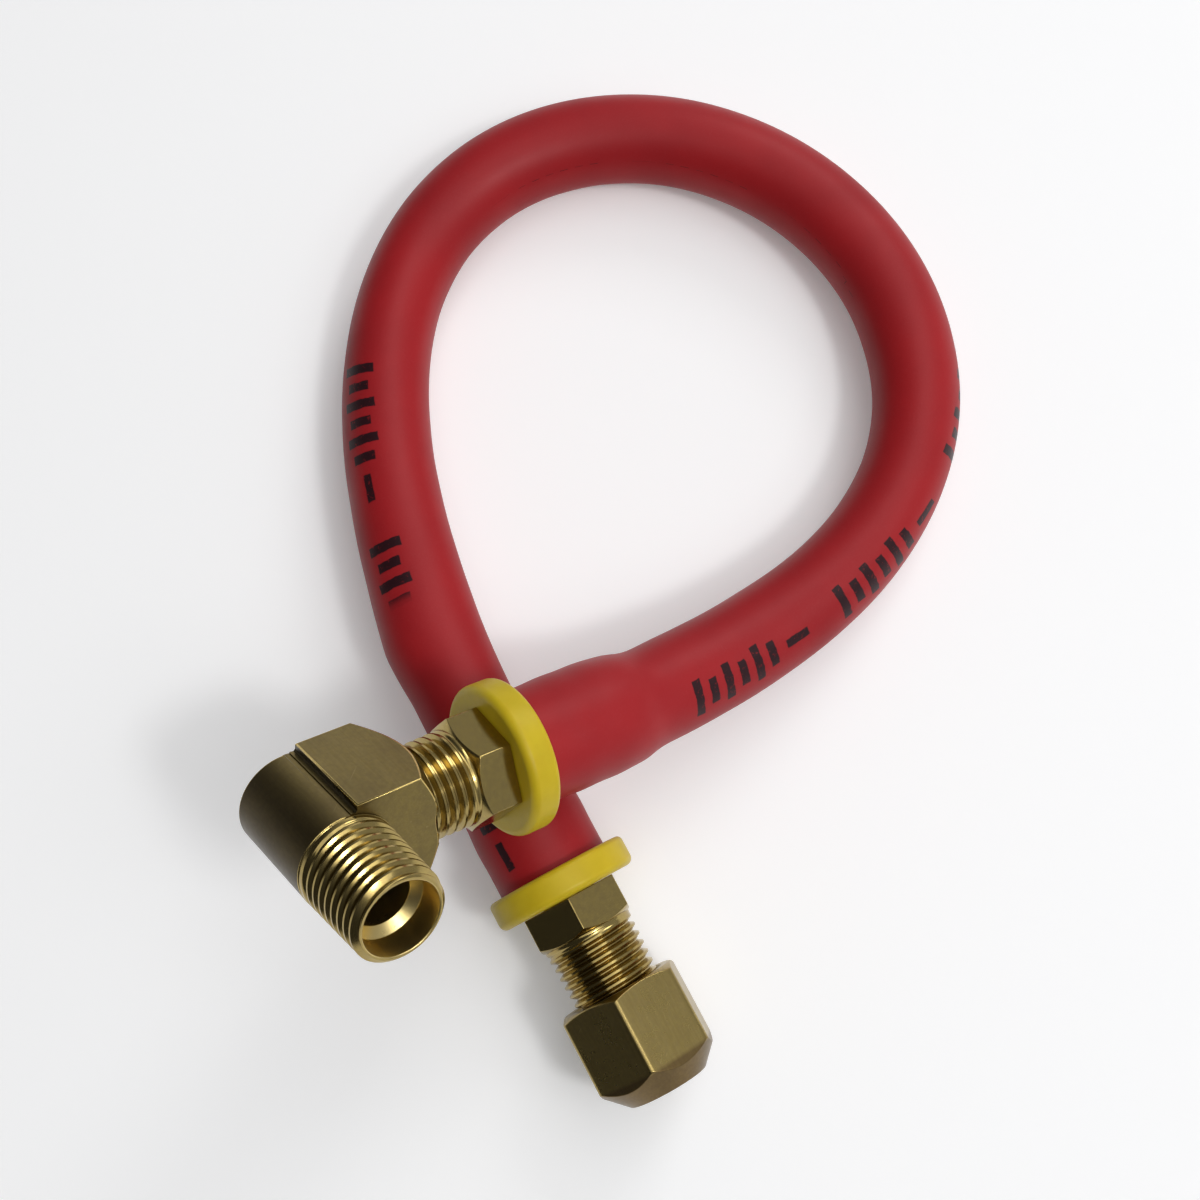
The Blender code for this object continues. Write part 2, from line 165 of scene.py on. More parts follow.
ELBOW_END = frame_along(ELBOW_END_PLACE, direction(ELBOW_END_HEADING, ELBOW_END_PITCH))
CAP_END = frame_along(CAP_END_PLACE, direction(CAP_END_HEADING, CAP_END_DIP))
ELBOW_REACH = HEX_LENGTH + ELBOW_END_THREAD_IN_SIGHT + PORT_REACH
ELBOW = (
    ELBOW_END
    @ Matrix.Translation((0, 0, -ELBOW_REACH * MM))
    @ Matrix.Rotation(math.radians(ELBOW_TURN), 4, "Z")
    @ Matrix.Rotation(math.pi, 4, Vector((1, 0, 1)))
)
CAP_MOUTH = HEX_LENGTH + CAP_END_THREAD_IN_SIGHT


# Camera


def make_camera():
    camera = bpy.data.objects.new("camera", bpy.data.cameras.new("camera"))
    scene_collection().objects.link(camera)
    camera.location = Vector(CAMERA_PLACE) * MM
    camera.rotation_mode = "QUATERNION"
    camera.rotation_quaternion = (Vector(CAMERA_TARGET) - Vector(CAMERA_PLACE)).to_track_quat("-Z", "Y")
    camera.data.lens = CAMERA_LENS
    camera.data.clip_start = 0.01
    bpy.context.scene.camera = camera


make_camera()


# Mesh helpers


def finish_mesh(name, points, faces, place, material, smooth=True):
    """A mesh object from points in millimetres, with doubled points merged and its faces pointing out."""
    mesh = bpy.data.meshes.new(name)
    mesh.from_pydata((np.asarray(points, float) * MM).tolist(), [], faces)
    shape = bmesh.new()
    shape.from_mesh(mesh)
    bmesh.ops.remove_doubles(shape, verts=shape.verts, dist=2e-7)
    bmesh.ops.dissolve_degenerate(shape, edges=shape.edges, dist=1e-8)
    bmesh.ops.recalc_face_normals(shape, faces=shape.faces)
    shape.to_mesh(mesh)
    shape.free()
    if smooth:
        mesh.shade_smooth()
    obj = bpy.data.objects.new(name, mesh)
    scene_collection().objects.link(obj)
    obj.matrix_world = place
    mesh.materials.append(material)
    return obj


SHARP_ANGLE = 40


def soft_normals(obj, sharp_angle=None):
    """Face-weighted normals, so that flat faces stay flat next to their rounded edges."""
    if sharp_angle is not None:
        obj.data.set_sharp_from_angle(angle=math.radians(sharp_angle))
    weighted = obj.modifiers.new("Normals", "WEIGHTED_NORMAL")
    weighted.keep_sharp = True
    weighted.weight = 80


def rounded(corners, radii, steps):
    """An open profile with each corner rounded to its radius, always with the same number of points."""
    corners = [np.array(corner, float) for corner in corners]
    points = [corners[0]]
    for before, corner, after, radius in zip(corners, corners[1:], corners[2:], radii[1:]):
        if radius == 0:
            points.append(corner)
            continue
        into, out = before - corner, after - corner
        long_in, long_out = np.linalg.norm(into), np.linalg.norm(out)
        into, out = into / long_in, out / long_out
        half = math.acos(max(-1.0, min(1.0, float(into @ out)))) / 2
        reach = min(radius / math.tan(half), 0.45 * long_in, 0.45 * long_out)
        radius = reach * math.tan(half)
        middle = into + out
        centre = corner + middle / np.linalg.norm(middle) * radius / math.sin(half)
        start, end = corner + into * reach - centre, corner + out * reach - centre
        sweep = math.pi - 2 * half
        for step in range(steps + 1):
            share = step / steps
            turn = (math.sin((1 - share) * sweep) * start + math.sin(share * sweep) * end) / math.sin(sweep)
            points.append(centre + turn)
    points.append(corners[-1])
    return points


def lathe(name, angles, columns, place, material, closed, screw=None):
    """A body whose profile may change with the angle. columns[i] holds (radius, height) pairs at angles[i].

    screw holds the first row, the last row and the rows per turn of a thread: where the last column meets
    the first, these rows meet the ones a turn further on.
    """
    columns = np.array(columns, float)
    turns, count = columns.shape[:2]
    x = columns[:, :, 0] * np.cos(angles)[:, None]
    y = columns[:, :, 0] * np.sin(angles)[:, None]
    points = np.stack([x, y, columns[:, :, 1]], axis=2).reshape(-1, 3)
    faces = []
    for i in range(turns):
        ahead = (i + 1) % turns
        for j in range(count if closed else count - 1):
            up = (j + 1) % count
            meets, meets_up = j, up
            if screw and ahead == 0 and screw[0] <= j < screw[1]:
                meets, meets_up = j + screw[2], up + screw[2]
                if min(meets, meets_up) < screw[0] or max(meets, meets_up) > screw[1]:
                    continue
            faces.append((i * count + j, ahead * count + meets, ahead * count + meets_up, i * count + up))
    return finish_mesh(name, points, faces, place, material)


def even_angles(count):
    return np.linspace(0, math.tau, count, endpoint=False)


HEX_CORNER_STEPS = 5
HEX_FLAT_STEPS = 20


def hex_angles(across_flats, corner_radius, turn):
    """Angles round a hexagon, close together on its rounded corners, and the radius at each."""
    flat = across_flats / 2
    side = (flat - corner_radius) * math.tan(math.pi / 6)
    tangent = math.atan(side / flat)
    round_part = math.pi / 6 - tangent
    centre = (flat - corner_radius) / math.cos(math.pi / 6)
    angles, radii = [], []
    for corner in range(6):
        middle = math.pi / 6 + corner * math.pi / 3
        for step in range(HEX_CORNER_STEPS + 1):
            off = round_part * (2 * step / HEX_CORNER_STEPS - 1)
            reach = centre * math.cos(off) + math.sqrt(corner_radius**2 - (centre * math.sin(off)) ** 2)
            angles.append(middle + off)
            radii.append(reach)
        for step in range(1, HEX_FLAT_STEPS):
            off = tangent * (2 * step / HEX_FLAT_STEPS - 1)
            angles.append(middle + math.pi / 6 + off)
            radii.append(flat / math.cos(off))
    return np.array(angles) + math.radians(turn), np.array(radii)


# Threads


FLANK_CURVE = 0.03


def groove_depth(phase):
    """How deep the thread is cut at a phase of one turn, from 0 at its crest to 1 at its root."""
    away = abs((phase + 0.5) % 1.0 - 0.5)
    flank = (1 - CREST_SHARE - ROOT_SHARE) / 2
    share = min(max((away - CREST_SHARE / 2) / flank, 0.0), 1.0)
    return share + FLANK_CURVE * math.sin(2 * math.pi * (0.5 - share))


# Where along one turn the thread's profile has its points; 0 is the middle of a crest
PHASES = (-0.5, -0.45, -0.38, -0.28, -0.18, -0.11, -0.08, -0.04)
PHASES += (0.0, 0.04, 0.08, 0.11, 0.18, 0.28, 0.38, 0.45)


def thread_column(angle, first_angle, low, high, crest_at, depth_at):
    """(radius, height) pairs up a thread at one angle, following its right-hand helix."""
    start = angle / math.tau
    first_start = first_angle / math.tau
    first = math.floor(low / PITCH - first_start) - 2
    turns = math.ceil(high / PITCH - first - first_start) + 1
    column = []
    for turn in range(first, first + turns):
        for phase in PHASES:
            height = min(max((turn + phase + start) * PITCH, low), high)
            at = height / PITCH - start
            column.append((crest_at(height) - depth_at(height) * groove_depth(at), height))
    return column


def screw_rows(before, thread, upward=True):
    """What lathe needs to know of a thread that has this many rows before it."""
    return before, before + thread - 1, len(PHASES) if upward else -len(PHASES)


def fade(value, low, high):
    """0 below low, 1 above high and smooth between them."""
    share = min(max((value - low) / (high - low), 0.0), 1.0)
    return share * share * (3 - 2 * share)


# Materials


class Nodes:
    """Short calls for building a material's nodes."""

    def __init__(self, name):
        self.material = bpy.data.materials.new(name)
        self.material.use_nodes = True
        self.tree = self.material.node_tree
        self.shader = self.tree.nodes["Principled BSDF"]

    def link(self, value, socket):
        if isinstance(value, bpy.types.NodeSocket):
            self.tree.links.new(value, socket)
        else:
            socket.default_value = value

    def node(self, kind, **settings):
        made = self.tree.nodes.new(kind)
        for key, value in settings.items():
            setattr(made, key, value)
        return made

    def math(self, operation, first, second=0.0):
        made = self.node("ShaderNodeMath", operation=operation)
        self.link(first, made.inputs[0])
        self.link(second, made.inputs[1])
        return made.outputs[0]

    def noise(self, vector, scale, detail=3.0, roughness=0.5):
        made = self.node("ShaderNodeTexNoise")
        self.link(vector, made.inputs["Vector"])
        made.inputs["Scale"].default_value = scale
        made.inputs["Detail"].default_value = detail
        made.inputs["Roughness"].default_value = roughness
        return made.outputs["Fac"]

    def spread(self, value, low, high, to_low=0.0, to_high=1.0):
        made = self.node("ShaderNodeMapRange")
        self.link(value, made.inputs["Value"])
        for name, number in zip(("From Min", "From Max", "To Min", "To Max"), (low, high, to_low, to_high)):
            made.inputs[name].default_value = number
        return made.outputs[0]

    def mix(self, share, first, second, blend="MIX"):
        made = self.node("ShaderNodeMix", data_type="RGBA", blend_type=blend)
        self.link(share, made.inputs[0])
        self.link(first, made.inputs[6])
        self.link(second, made.inputs[7])
        return made.outputs[2]

    def object_place(self):
        return self.node("ShaderNodeTexCoord").outputs["Object"]

    def split(self, vector):
        made = self.node("ShaderNodeSeparateXYZ")
        self.link(vector, made.inputs[0])
        return made.outputs

    def join(self, x, y, z):
        made = self.node("ShaderNodeCombineXYZ")
        for value, socket in zip((x, y, z), made.inputs):
            self.link(value, socket)
        return made.outputs[0]

    def bump(self, height, strength, distance, under=None):
        made = self.node("ShaderNodeBump")
        self.link(height, made.inputs["Height"])
        made.inputs["Strength"].default_value = strength
        made.inputs["Distance"].default_value = distance
        if under is not None:
            self.link(under, made.inputs["Normal"])
        return made.outputs[0]

    def finish(self, color, roughness, normal, **plain):
        self.link(color, self.shader.inputs["Base Color"])
        self.link(roughness, self.shader.inputs["Roughness"])
        self.link(normal, self.shader.inputs["Normal"])
        for key, value in plain.items():
            self.shader.inputs[key.replace("_", " ")].default_value = value
        return self.material


BRASS = (0.450, 0.342, 0.122, 1.0)
BRASS_DEEP = (0.370, 0.272, 0.086, 1.0)
BRASS_TARNISH = (0.29, 0.215, 0.098, 1.0)
BRASS_SPECK = (0.10, 0.065, 0.03, 1.0)
BRASS_BRIGHT = (0.66, 0.52, 0.22, 1.0)


def brass(name, turned, roughness, tarnish, darkening=None, bore=False, painted_light_scale=1.0):
    """Machined brass with faint tarnish, small dark specks and a few hairline scratches.

    Fine lines run round a turned piece, and along the bar on a milled one. An optional axis, two places in
    millimetres along it and a colour make the surface darker and a little rougher between those places; on
    the elbow's back this
    is painted shade. The bore flag makes the brass nearer the axis than the male end's mouth wall lighter
    and rougher:
    painted light inside that bore. A colour scale other than 1 multiplies the whole colour: painted shade
    below 1, a painted highlight above 1.
    """
    n = Nodes(name)
    place = n.object_place()
    x, y, z = n.split(place)
    radius = n.math("SQRT", n.math("ADD", n.math("MULTIPLY", x, x), n.math("MULTIPLY", y, y)))
    if turned:
        grain_at = n.join(n.math("MULTIPLY", radius, 9.0), 0.0, n.math("MULTIPLY", z, 9.0))
    else:
        across_x = n.math("MULTIPLY", x, 4.0)
        across_y = n.math("MULTIPLY", y, 4.0)
        grain_at = n.join(across_x, across_y, n.math("MULTIPLY", z, 0.3))
    grain = n.noise(grain_at, 900.0, 2.0, 0.5)
    pits = n.noise(place, 1500.0, 2.0, 0.5)
    patches = n.noise(place, 170.0, 2.0, 0.5)
    stain = n.spread(patches, 0.40, 0.80)
    specks = n.spread(n.noise(place, 1100.0, 1.0, 0.4), 0.80, 0.84)
    # Hairline scratches: the peaks of a noise drawn out along a slant
    slant = n.math("MULTIPLY", n.math("SUBTRACT", x, z), 0.05)
    hair = n.noise(n.join(n.math("ADD", x, z), slant, y), 2000.0, 0.0)
    hair = n.spread(hair, 0.80, 0.86)
    color = n.mix(n.spread(grain, 0.3, 0.7, 0.0, 0.7), BRASS, BRASS_DEEP)
    color = n.mix(n.spread(pits, 0.35, 0.65, 0.0, 0.35), color, BRASS_TARNISH)
    color = n.mix(n.math("MULTIPLY", stain, tarnish), color, BRASS_TARNISH)
    color = n.mix(n.math("MULTIPLY", specks, 0.5), color, BRASS_SPECK)
    color = n.mix(n.math("MULTIPLY", hair, 0.35), color, BRASS_BRIGHT)
    rough = n.spread(pits, 0.2, 0.8, roughness - 0.015, roughness + 0.025)
    rough = n.math("ADD", rough, n.math("MULTIPLY", stain, 0.04))
    # The whole colour scaled: painted shade below 1, a painted highlight above 1
    if painted_light_scale != 1.0:
        color = n.mix(1.0, color, (painted_light_scale, painted_light_scale, painted_light_scale, 1.0), "MULTIPLY")
    # Darker and a little rougher between two places along one axis: painted shade on the elbow's back
    if darkening is not None:
        axis, clear, full, dark = darkening
        darkened = n.spread({"X": x, "Y": y, "Z": z}[axis], clear * MM, full * MM)
        color = n.mix(darkened, color, n.mix(1.0, color, dark, "MULTIPLY"))
        rough = n.math("ADD", rough, n.math("MULTIPLY", darkened, 0.05))
    # Nearer the axis than the male end's mouth wall the brass is lighter and rougher: painted light inside
    # the bore
    if bore:
        painted_light_radius = MALE_MOUTH_RADIUS + 0.12
        inside = n.spread(radius, painted_light_radius * MM, (painted_light_radius + 0.05) * MM, 1.0, 0.0)
        color = n.mix(inside, color, BRASS_BRIGHT)
        rough = n.math("ADD", rough, n.math("MULTIPLY", inside, 0.12))
    normal = n.bump(grain, 0.02 if turned else 0.006, 0.00004)
    return n.finish(color, rough, normal, Metallic=1.0)


RUBBER_RED = (0.395, 0.014, 0.018, 1.0)
RUBBER_DEEP = (0.330, 0.011, 0.015, 1.0)
RUBBER_DUST = (0.40, 0.065, 0.070, 1.0)
INK = (0.008, 0.005, 0.008, 1.0)

# The printed line: pitch of a group of bars, the bars' sizes, the dash after them and the ink's soft edge
PRINT_PITCH = 29.0
BAR_PITCH = 2.9
BAR_WIDTH = 1.5
BAR_HEIGHT = 5.6
BAR_STEP = 0.16
BARS_IN_GROUP = 6
DASH_START = 0.6
DASH_END = 5.0
DASH_HEIGHT = 1.2
INK_EDGE_ALONG = 0.12
INK_EDGE_ACROSS = 0.14
INK_EDGE_DASH = 0.15
INK_UNEVEN = 0.45


def printed_bars(n):
    """Where ink lies: groups of plain upright bars with a dash after each, their edges a little uneven."""
    along = n.node("ShaderNodeAttribute", attribute_name="along").outputs["Fac"]
    across = n.node("ShaderNodeAttribute", attribute_name="across").outputs["Fac"]
    inked = n.node("ShaderNodeAttribute", attribute_name="inked").outputs["Fac"]
    place = n.object_place()
    uneven = n.math("MULTIPLY", n.math("SUBTRACT", n.noise(place, 900.0, 3.0), 0.5), INK_UNEVEN)
    along = n.math("ADD", along, uneven)
    away = n.math("ADD", n.math("ABSOLUTE", across), n.math("MULTIPLY", uneven, 0.7))
    in_group = n.math("MULTIPLY", n.math("FRACT", n.math("DIVIDE", along, PRINT_PITCH)), PRINT_PITCH)
    bar = n.math("MULTIPLY", n.math("FRACT", n.math("DIVIDE", in_group, BAR_PITCH)), BAR_PITCH)
    number = n.math("FLOOR", n.math("DIVIDE", in_group, BAR_PITCH))
    short = n.math("MODULO", number, 2.0)
    height = n.math("SUBTRACT", BAR_HEIGHT / 2, n.math("MULTIPLY", short, BAR_HEIGHT * BAR_STEP))
    bars = n.spread(bar, BAR_WIDTH, BAR_WIDTH + INK_EDGE_ALONG, 1.0, 0.0)
    bars = n.math("MULTIPLY", bars, n.spread(bar, 0.0, INK_EDGE_ALONG))
    past_bar = n.math("SUBTRACT", away, height)
    bars = n.math("MULTIPLY", bars, n.spread(past_bar, 0.0, INK_EDGE_ACROSS, 1.0, 0.0))
    bars = n.math("MULTIPLY", bars, n.math("LESS_THAN", number, BARS_IN_GROUP - 0.5))
    start = BARS_IN_GROUP * BAR_PITCH + DASH_START
    end = BARS_IN_GROUP * BAR_PITCH + DASH_END
    dash = n.spread(in_group, start, start + INK_EDGE_DASH)
    dash = n.math("MULTIPLY", dash, n.spread(in_group, end, end + INK_EDGE_DASH, 1.0, 0.0))
    past_dash = n.spread(away, DASH_HEIGHT / 2, DASH_HEIGHT / 2 + INK_EDGE_ACROSS, 1.0, 0.0)
    dash = n.math("MULTIPLY", dash, past_dash)
    # The ink is thin in places
    thin = n.spread(n.noise(place, 1500.0, 4.0, 0.7), 0.30, 0.42, 0.45, 1.0)
    return n.math("MULTIPLY", n.math("MULTIPLY", n.math("MAXIMUM", bars, dash), inked), thin)


def red_rubber():
    """Satin red rubber with a fine grain, faint handling marks and a printed line of plain bars."""
    n = Nodes("red_rubber")
    place = n.object_place()
    patches = n.noise(place, 60.0, 4.0, 0.55)
    speckle = n.noise(place, 2600.0, 3.0, 0.6)
    fine = n.noise(place, 5200.0, 2.0, 0.5)
    ink = printed_bars(n)
    color = n.mix(n.spread(patches, 0.35, 0.7), RUBBER_RED, RUBBER_DEEP)
    color = n.mix(n.spread(speckle, 0.50, 0.80, 0.0, 0.10), color, RUBBER_DUST)
    color = n.mix(n.math("MULTIPLY", ink, 0.95), color, INK)
    rough = n.spread(patches, 0.3, 0.7, 0.42, 0.52)
    rough = n.math("SUBTRACT", rough, n.math("MULTIPLY", ink, 0.06))
    normal = n.bump(fine, 0.20, 0.00005)
    normal = n.bump(patches, 0.10, 0.0006, normal)
    return n.finish(color, rough, normal, Specular_IOR_Level=0.25)


YELLOW = (0.64, 0.475, 0.018, 1.0)
YELLOW_DEEP = (0.59, 0.43, 0.014, 1.0)


def yellow_plastic():
    """Moulded yellow plastic, a little uneven in colour."""
    n = Nodes("yellow_plastic")
    place = n.object_place()
    patches = n.noise(place, 240.0, 3.0, 0.6)
    fine = n.noise(place, 1800.0, 3.0, 0.55)
    color = n.mix(n.spread(patches, 0.35, 0.68), YELLOW, YELLOW_DEEP)
    rough = n.spread(fine, 0.3, 0.7, 0.34, 0.46)
    normal = n.bump(fine, 0.12, 0.00006)
    plain = {"Subsurface_Weight": 0.06, "Subsurface_Scale": 0.001, "Specular_IOR_Level": 0.24}
    return n.finish(color, rough, normal, **plain)


RUBBER = red_rubber()
PLASTIC = yellow_plastic()
# Its bore option gives the inside of the male end's bore painted light
TURNED_BRASS = brass("turned_brass", True, 0.16, 0.2, bore=True)
# The elbow turns darker and a little rougher towards its back. The darker colour is painted shade for the
# dark floor its back reflects. The cap turns darker, a little purple and a little rougher on its closed
# end.
ELBOW_BACK_PAINTED_SHADE = ("X", BLOCK_STEP - 0.4, -4.5, (0.30, 0.28, 0.25, 1.0))
# The elbow's brass colour is scaled to 0.55: painted shade over the whole elbow
MILLED_BRASS = brass("milled_brass", False, 0.30, 0.4, ELBOW_BACK_PAINTED_SHADE, painted_light_scale=0.55)
# Brighter brass on the elbow's rounded edges: a painted highlight along them
EDGE_BRASS_PAINTED_HIGHLIGHT = brass("edge_brass_painted_highlight", False, 0.22, 0.1, painted_light_scale=1.45)
# Dark brass on the wall above the elbow's ledge: painted shade in the groove
LEDGE_WALL_PAINTED_SHADE = brass("ledge_wall_painted_shade", False, 0.35, 0.4, painted_light_scale=0.16)
# The cap turns darker and a little purple from where its hex ends on to its closed end
CAP_END_DARKENING_FROM = -HEX_LENGTH - CAP_END_THREAD_IN_SIGHT - CAP_HEX_LENGTH
CAP_END_DARKENING = ("Z", CAP_END_DARKENING_FROM + 0.1, CAP_END_DARKENING_FROM - 0.5, (0.50, 0.45, 0.52, 1.0))
# The cap's brass colour is scaled to 0.92: a faint painted shade over the whole cap
CAP_BRASS = brass("cap_brass", False, 0.27, 0.3, CAP_END_DARKENING, painted_light_scale=0.92)


# Hose


RING_SPACING = 1.2
RING_POINTS = 72
ROUTE_STEPS = 4000


def smooth_curve(points):
    """A cubic spline through the points, as a function of the distance along their chords."""
    points = np.array(points, float)
    knots = np.concatenate([[0], np.cumsum(np.linalg.norm(np.diff(points, axis=0), axis=1))])
    gaps = np.diff(knots)
    count = len(points)
    system = np.eye(count)
    target = np.zeros((count, 3))
    slopes = np.diff(points, axis=0) / gaps[:, None]
    for i in range(1, count - 1):
        system[i, i - 1 : i + 2] = gaps[i - 1], 2 * (gaps[i - 1] + gaps[i]), gaps[i]
        target[i] = 6 * (slopes[i] - slopes[i - 1])
    bends = np.linalg.solve(system, target)

    def at(distance):
        i = min(max(int(np.searchsorted(knots, distance)) - 1, 0), count - 2)
        left = distance - knots[i]
        right = knots[i + 1] - distance
        straight = (points[i] * right + points[i + 1] * left) / gaps[i]
        curl = bends[i] * (right**3 / gaps[i] - right * gaps[i])
        curl += bends[i + 1] * (left**3 / gaps[i] - left * gaps[i])
        return straight + curl / 6

    return at, knots[-1]


def even_points(points, spacing):
    """Evenly spaced points along the smooth curve through the given ones, and how far along each is."""
    at, length = smooth_curve(points)
    fine = np.array([at(distance) for distance in np.linspace(0, length, ROUTE_STEPS)])
    travelled = np.concatenate([[0], np.cumsum(np.linalg.norm(np.diff(fine, axis=0), axis=1))])
    wanted = np.linspace(0, travelled[-1], round(travelled[-1] / spacing) + 1)
    return np.stack([np.interp(wanted, travelled, fine[:, axis]) for axis in range(3)], axis=1), wanted


def hose_route():
    """The hose's centre line: straight over each stem, and free between them."""
    into_elbow_end = np.array(direction(ELBOW_END_HEADING, ELBOW_END_PITCH))
    into_cap_end = np.array(direction(CAP_END_HEADING, CAP_END_DIP))
    on_stem = (HOSE_END, STEM_LENGTH / 2, STEM_LENGTH)
    first = [np.array(ELBOW_END_PLACE) + into_elbow_end * height for height in on_stem]
    last = [np.array(CAP_END_PLACE) + into_cap_end * height for height in reversed(on_stem)]
    free = [(x, y, HOSE_RADIUS + lift) for x, y, lift in ROUTE]
    return even_points([*first, *free, *last], RING_SPACING)


# The skin's swell over each barb: its height, its reach and its distance from the barb's crest
BARB_SWELL = 0.11
BARB_SWELL_REACH = 1.9
BARB_SWELL_PLACE = 2.0

# Distance along the hose, and its half widths there on the outside and on the inside of its loop. They were
# read from the photograph and vary round the solid's plain radius.
HOSE_SIDES = (
    (0, 8.25, 8.25),
    (12, 8.4, 8.45),
    (18, 8.35, 8.35),
    (20.5, 8.15, 8.05),
    (22.5, 7.6, 7.5),
    (25, 7.35, 7.3),
    (30, 7.2, 7.6),
    (36, 6.95, 7.7),
    (48, 6.75, 7.65),
    (60, 6.65, 7.25),
    (72, 6.75, 6.8),
    (84, 6.9, 6.55),
    (96, 7.1, 6.65),
    (108, 7.2, 6.9),
    (150, 7.1, 7.1),
    (168, 7.15, 7.05),
    (180, 7.3, 6.8),
    (192, 7.35, 6.4),
    (204, 7.25, 6.15),
    (216, 6.9, 6.4),
    (228, 6.65, 6.85),
    (240, 6.6, 7.25),
    (252, 6.8, 7.4),
    (264, 7.45, 7.3),
    (271, 8.05, 7.15),
    (276, 8.5, 7.0),
    (280, 8.1, 6.95),
    (284, 7.55, 6.95),
    (289, 7.35, 7.0),
    (294, 7.5, 7.3),
    (299, 8.2, 7.9),
    (306, 8.75, 8.1),
    (318, 8.7, 8.2),
)


WIDTH_STEP = 0.25
WIDTH_REACH = 1.8
WIDTH_MARGIN = 6.0


def half_widths(travelled, column):
    """The half widths of one side at the given distances, smoothed over a few millimetres."""
    table = np.array(HOSE_SIDES, float)
    fine = np.arange(-WIDTH_MARGIN, table[-1, 0] + WIDTH_MARGIN, WIDTH_STEP)
    near = np.arange(-WIDTH_REACH, WIDTH_REACH + 0.01, WIDTH_STEP)
    weights = np.cos(near / WIDTH_REACH * math.pi / 2) ** 2
    smooth = np.convolve(np.interp(fine, table[:, 0], table[:, column]), weights / weights.sum(), "same")
    edge = math.ceil(WIDTH_REACH / WIDTH_STEP)
    return np.interp(travelled, fine[edge:-edge], smooth[edge:-edge])


# The printed line: distance along the hose, degrees from its top towards the outside, and inked or not
PRINT_LINE = (
    (0, 36, 0),
    (26, 36, 0),
    (27, 36, 1),
    (45, 34, 1),
    (60, 38, 1),
    (75, 50, 1),
    (90, 68, 1),
    (108, 98, 1),
    (125, 125, 1),
    (200, 125, 1),
    (201, 123, 0),
    (220, 60, 0),
    (230, 36, 0),
    (231, 34, 1),
    (242, 29, 1),
    (270, 22, 1),
    (271, 22, 0),
    (301, 36, 0),
    (302, 36, 1),
    (318, 36, 1),
)


def print_place(travelled, radius, angles):
    """For each point of the hose's skin: how far along it, how far across from the print, and inked."""
    table = np.array(PRINT_LINE, float)
    turn = np.radians(np.interp(travelled, table[:, 0], table[:, 1]))
    inked = np.interp(travelled, table[:, 0], table[:, 2])
    from_top = math.pi / 2 - angles[None, :]
    off = (from_top - turn[:, None] + math.pi) % math.tau - math.pi
    along = np.repeat(travelled[:, None], len(angles), axis=1)
    return along, off * radius[:, None], np.repeat(inked[:, None], len(angles), axis=1)


def barb_swell(from_end):
    """A faint swell of the skin over each barb."""
    swell = 0.0
    for barb in range(BARB_COUNT):
        crest = STEM_LENGTH - (barb + 1) * BARB_LENGTH + BARB_TIP_LAND + BARB_SWELL_PLACE
        swell += BARB_SWELL * math.exp(-(((from_end + HOSE_END - crest) / BARB_SWELL_REACH) ** 2))
    return swell


# How far the stretched skin takes to end, and how strongly a squeezed hose changes its height
STEM_FADE = 9.0
FLATTENING = 1.3


def make_hose():
    """The hose as one closed skin: outside from end to end, and back through its bore."""
    points, travelled = hose_route()
    length = travelled[-1]
    tangents = np.gradient(points, axis=0)
    tangents /= np.linalg.norm(tangents, axis=1)[:, None]
    outer = half_widths(travelled, 1)
    inner = half_widths(travelled, 2)
    angles = even_angles(RING_POINTS)
    rings = []
    for point, tangent, along, out, into in zip(points, tangents, travelled, outer, inner):
        side = np.cross(tangent, (0, 0, 1))
        side /= np.linalg.norm(side)
        top = np.cross(side, tangent)
        from_end = min(along, length - along)
        swell = barb_swell(from_end)
        across = (out + into) / 2 + swell
        stretched = 1 - fade(from_end, STEM_LENGTH - STEM_FADE, STEM_LENGTH)
        # Where the free hose is squeezed narrow it stands higher, and where it is wide it is flatter
        upright = across + (HOSE_RADIUS - across) * FLATTENING * (1 - stretched)
        centre = point + side * (out - into) / 2
        # It rests on the surface and doesn't sink in
        centre[2] += max(upright - centre[2], 0)
        ring = [centre + side * across * math.cos(a) + top * upright * math.sin(a) for a in angles]
        rings.append((ring, side, top, centre))
    rows = [ring for ring, _, _, _ in rings]

    def bore(index):
        _, side, top, centre = rings[index]
        from_end = min(travelled[index], length - travelled[index]) + HOSE_END
        stretched = 1 - fade(from_end, STEM_LENGTH, STEM_LENGTH + STRETCH_FADE)
        radius = HOSE_BORE_RADIUS + (STRETCHED_BORE_RADIUS - HOSE_BORE_RADIUS) * stretched
        return [centre + side * radius * math.cos(a) + top * radius * math.sin(a) for a in angles]

    rows += [bore(index) for index in reversed(range(len(rings)))]
    grid = np.array(rows)
    count = len(rows)
    faces = []
    for i in range(count):
        ahead = (i + 1) % count
        for j in range(RING_POINTS):
            up = (j + 1) % RING_POINTS
            row, next_row = i * RING_POINTS, ahead * RING_POINTS
            faces.append((row + j, next_row + j, next_row + up, row + up))
    hose = finish_mesh("rubber_hose", grid.reshape(-1, 3), faces, Matrix.Identity(4), RUBBER)
    # The bore's points get the skin's values too, but nothing inked
    skin = print_place(travelled, (outer + inner) / 2, angles)
    for name, values in zip(("along", "across", "inked"), skin):
        stored = hose.data.attributes.new(name, "FLOAT", "POINT")
        hidden = np.zeros_like(values) if name == "inked" else values
        stored.data.foreach_set("value", np.concatenate([values, hidden]).ravel().astype(np.float32))
    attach(hose, "hose_assembly")
    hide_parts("hose")


# Collars


COLLAR_FRONT_DROP = 0.08
COLLAR_PLAY = 0.3
COLLAR_STEPS = 144


